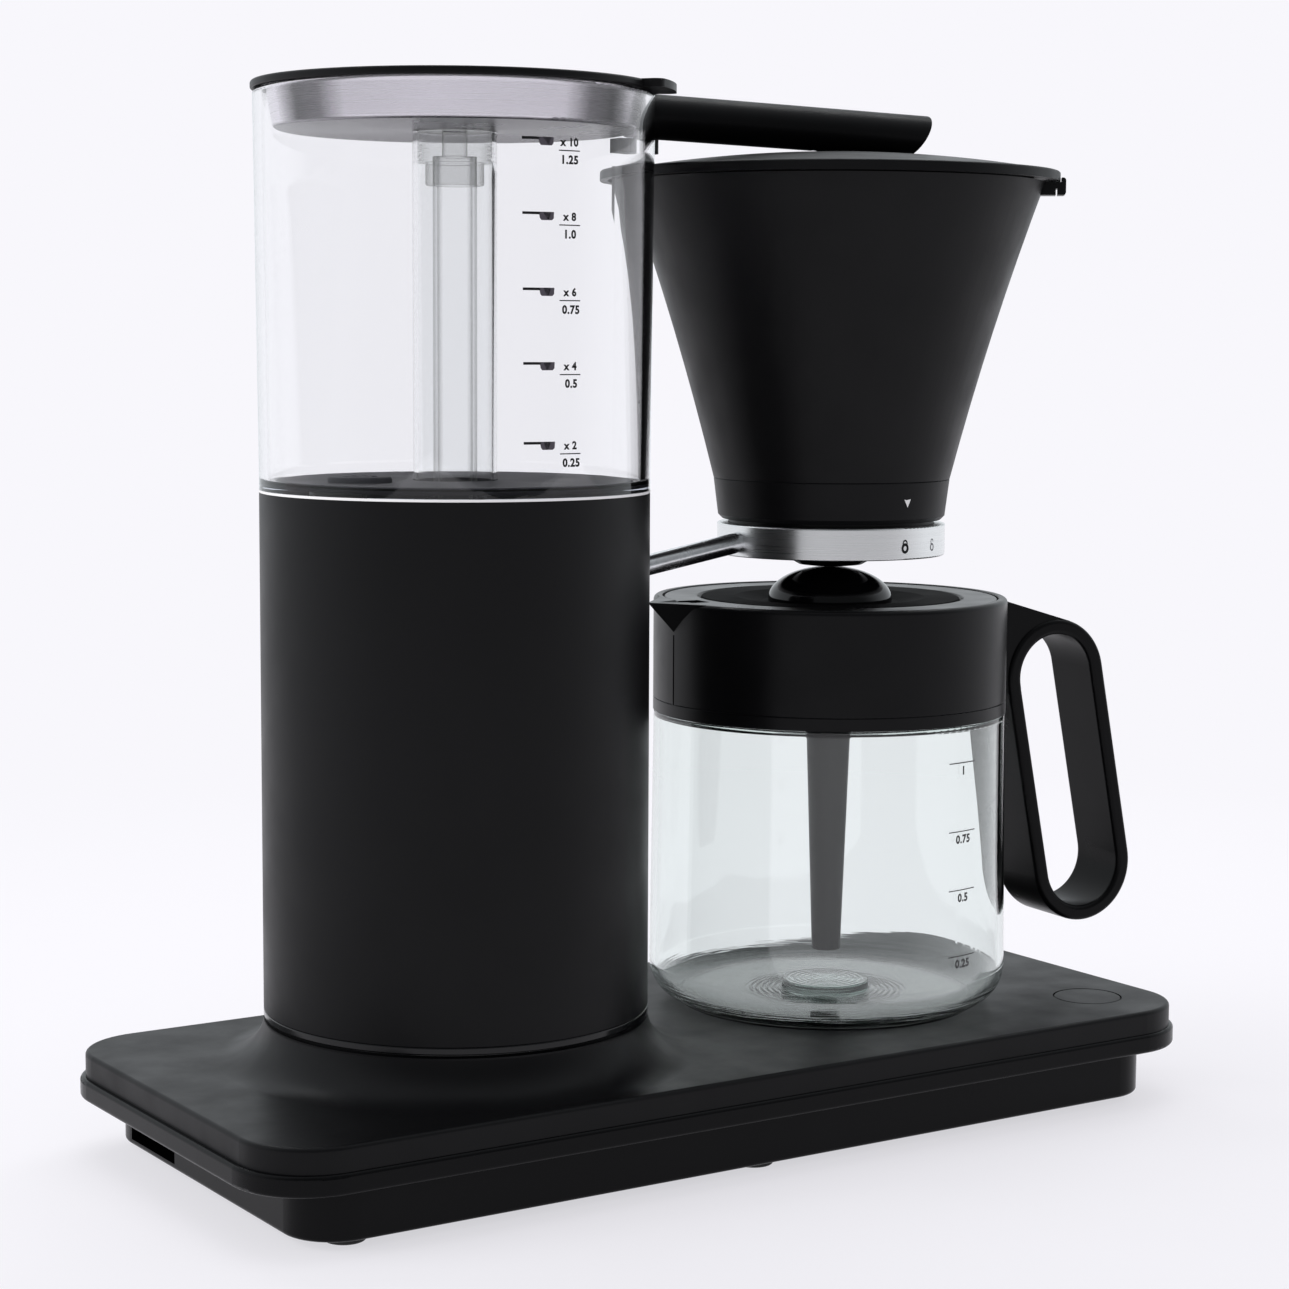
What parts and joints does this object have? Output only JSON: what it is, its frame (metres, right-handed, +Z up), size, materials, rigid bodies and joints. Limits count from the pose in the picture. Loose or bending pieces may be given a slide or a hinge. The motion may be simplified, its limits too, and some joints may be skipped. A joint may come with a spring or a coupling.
{
  "type": "filter coffee brewer",
  "caption": "Filter coffee brewer with a clear water tank on a round tower, a cone filter holder in a steel ring, a swinging spray arm and a lidded glass jug on a long flat base.",
  "frame": {"origin": "on the table, at the middle of the whole outline seen from above", "axes": "+X along the base from the tower to the jug, -Y the user's side, +Z up"},
  "size_m": [0.3788, 0.161, 0.3455],
  "materials": {
    "matt_black": "fine matt texture",
    "gloss_black": "gloss",
    "matt_can": "matt paint",
    "clear_tank": "clear, polished",
    "clear_tube": "clear, polished",
    "jug_glass": "clear",
    "silicone": "translucent silicone",
    "rubber": "soft black rubber",
    "brushed_steel": "brushed",
    "bright_steel": "polished",
    "zinc_steel": "zinc plated",
    "aluminium": "cast",
    "grey_plastic": "moulded",
    "circuit_board": "solder mask",
    "white_plastic": "moulded"
  },
  "bodies": {
    "stand": {"base_tray": "gloss_black", "base_cover": "matt_black", "tower_collar": "matt_black", "rubber_feet": "rubber", "base_screws": "zinc_steel", "cord_gland": "rubber", "terminal_block": "white_plastic", "control_board": "circuit_board", "button_spring": "zinc_steel", "power_switch": "grey_plastic", "hotplate": "matt_can", "hotplate_gasket": "rubber", "hotplate_heater": "aluminium", "hotplate_thermostat": "aluminium", "heater_clamp": "zinc_steel", "tower_ring": "gloss_black", "tower_shell": "matt_can", "tower_frame": "grey_plastic", "frame_screws": "zinc_steel", "rod_bracket": "grey_plastic", "support_rod": "bright_steel", "filter_ring": "brushed_steel", "boiler": "brushed_steel", "boiler_bracket": "zinc_steel", "thermal_fuse": "white_plastic", "check_valve": "white_plastic", "cold_hose": "silicone", "hot_hose": "silicone", "hose_clamps": "zinc_steel", "water_tank": "clear_tank", "tank_gasket": "silicone", "outlet_strainer": "grey_plastic", "riser_pipe": "clear_tube", "riser_cover": "clear_tube", "riser_cap": "silicone", "arm_pivot_pin": "bright_steel", "arm_bracket": "matt_black"},
    "button": {"power_button": "matt_black"},
    "tank_lid": {"tank_lid": "matt_black", "lid_insert": "brushed_steel", "outlet_duct": "grey_plastic"},
    "arm": {"spray_arm": "matt_black"},
    "holder": {"filter_holder": "matt_black", "holder_base": "matt_black", "holder_collar": "matt_black", "rim_catch": "matt_black", "valve_seal": "silicone", "drip_spring": "zinc_steel"},
    "cone_lid": {"cone_lid": "matt_black"},
    "drip_stop": {"drip_valve": "gloss_black"},
    "jug": {"jug_glass": "jug_glass", "jug_lower_ring": "gloss_black", "jug_band": "matt_black", "jug_gasket": "silicone", "jug_handle": "matt_black", "handle_screw": "zinc_steel"},
    "jug_lid": {"jug_lid": "matt_black", "dome_foot": "gloss_black", "lid_dome": "matt_black", "mixing_tube": "grey_plastic"}
  },
  "joints": [
    {"name": "button_press", "type": "slide", "parent": "stand", "child": "button", "axis": [0, 0, -1], "range_m": [0, 0.0015], "stiffness_N_per_m": 500, "deforming": ["button_spring"]},
    {"name": "tank_lid_lift", "type": "slide", "parent": "stand", "child": "tank_lid", "axis": [0, 0, 1], "range_m": [0, 0.04]},
    {"name": "arm_swing", "type": "hinge", "parent": "stand", "child": "arm", "pos_m": [-0.01179, 0, 0.3381], "axis": [0, 0, 1], "range_deg": [0, 70]},
    {"name": "holder_turn", "type": "hinge", "parent": "stand", "child": "holder", "pos_m": [0.06651, 0, 0.1913], "axis": [0, 0, 1], "range_deg": [0, 22]},
    {"name": "cone_lid_turn", "type": "hinge", "parent": "holder", "child": "cone_lid", "pos_m": [0.06651, 0, 0.3193], "axis": [0, 0, 1], "range_deg": [0, 35]},
    {"name": "drip_stop_drop", "type": "slide", "parent": "holder", "child": "drip_stop", "axis": [0, 0, -1], "range_m": [0, 0.004], "deforming": ["drip_spring"]},
    {"name": "jug_slide", "type": "slide", "parent": "stand", "child": "jug", "axis": [0, -1, 0], "range_m": [0, 0.2]},
    {"name": "jug_lid_turn", "type": "hinge", "parent": "jug", "child": "jug_lid", "pos_m": [0.06651, 0, 0.1723], "axis": [0, 0, 1], "range_deg": [0, 30]}
  ],
  "couplings": [
    {"joint": "drip_stop_drop", "follows": "jug_slide", "ratio": 0.02}
  ]
}
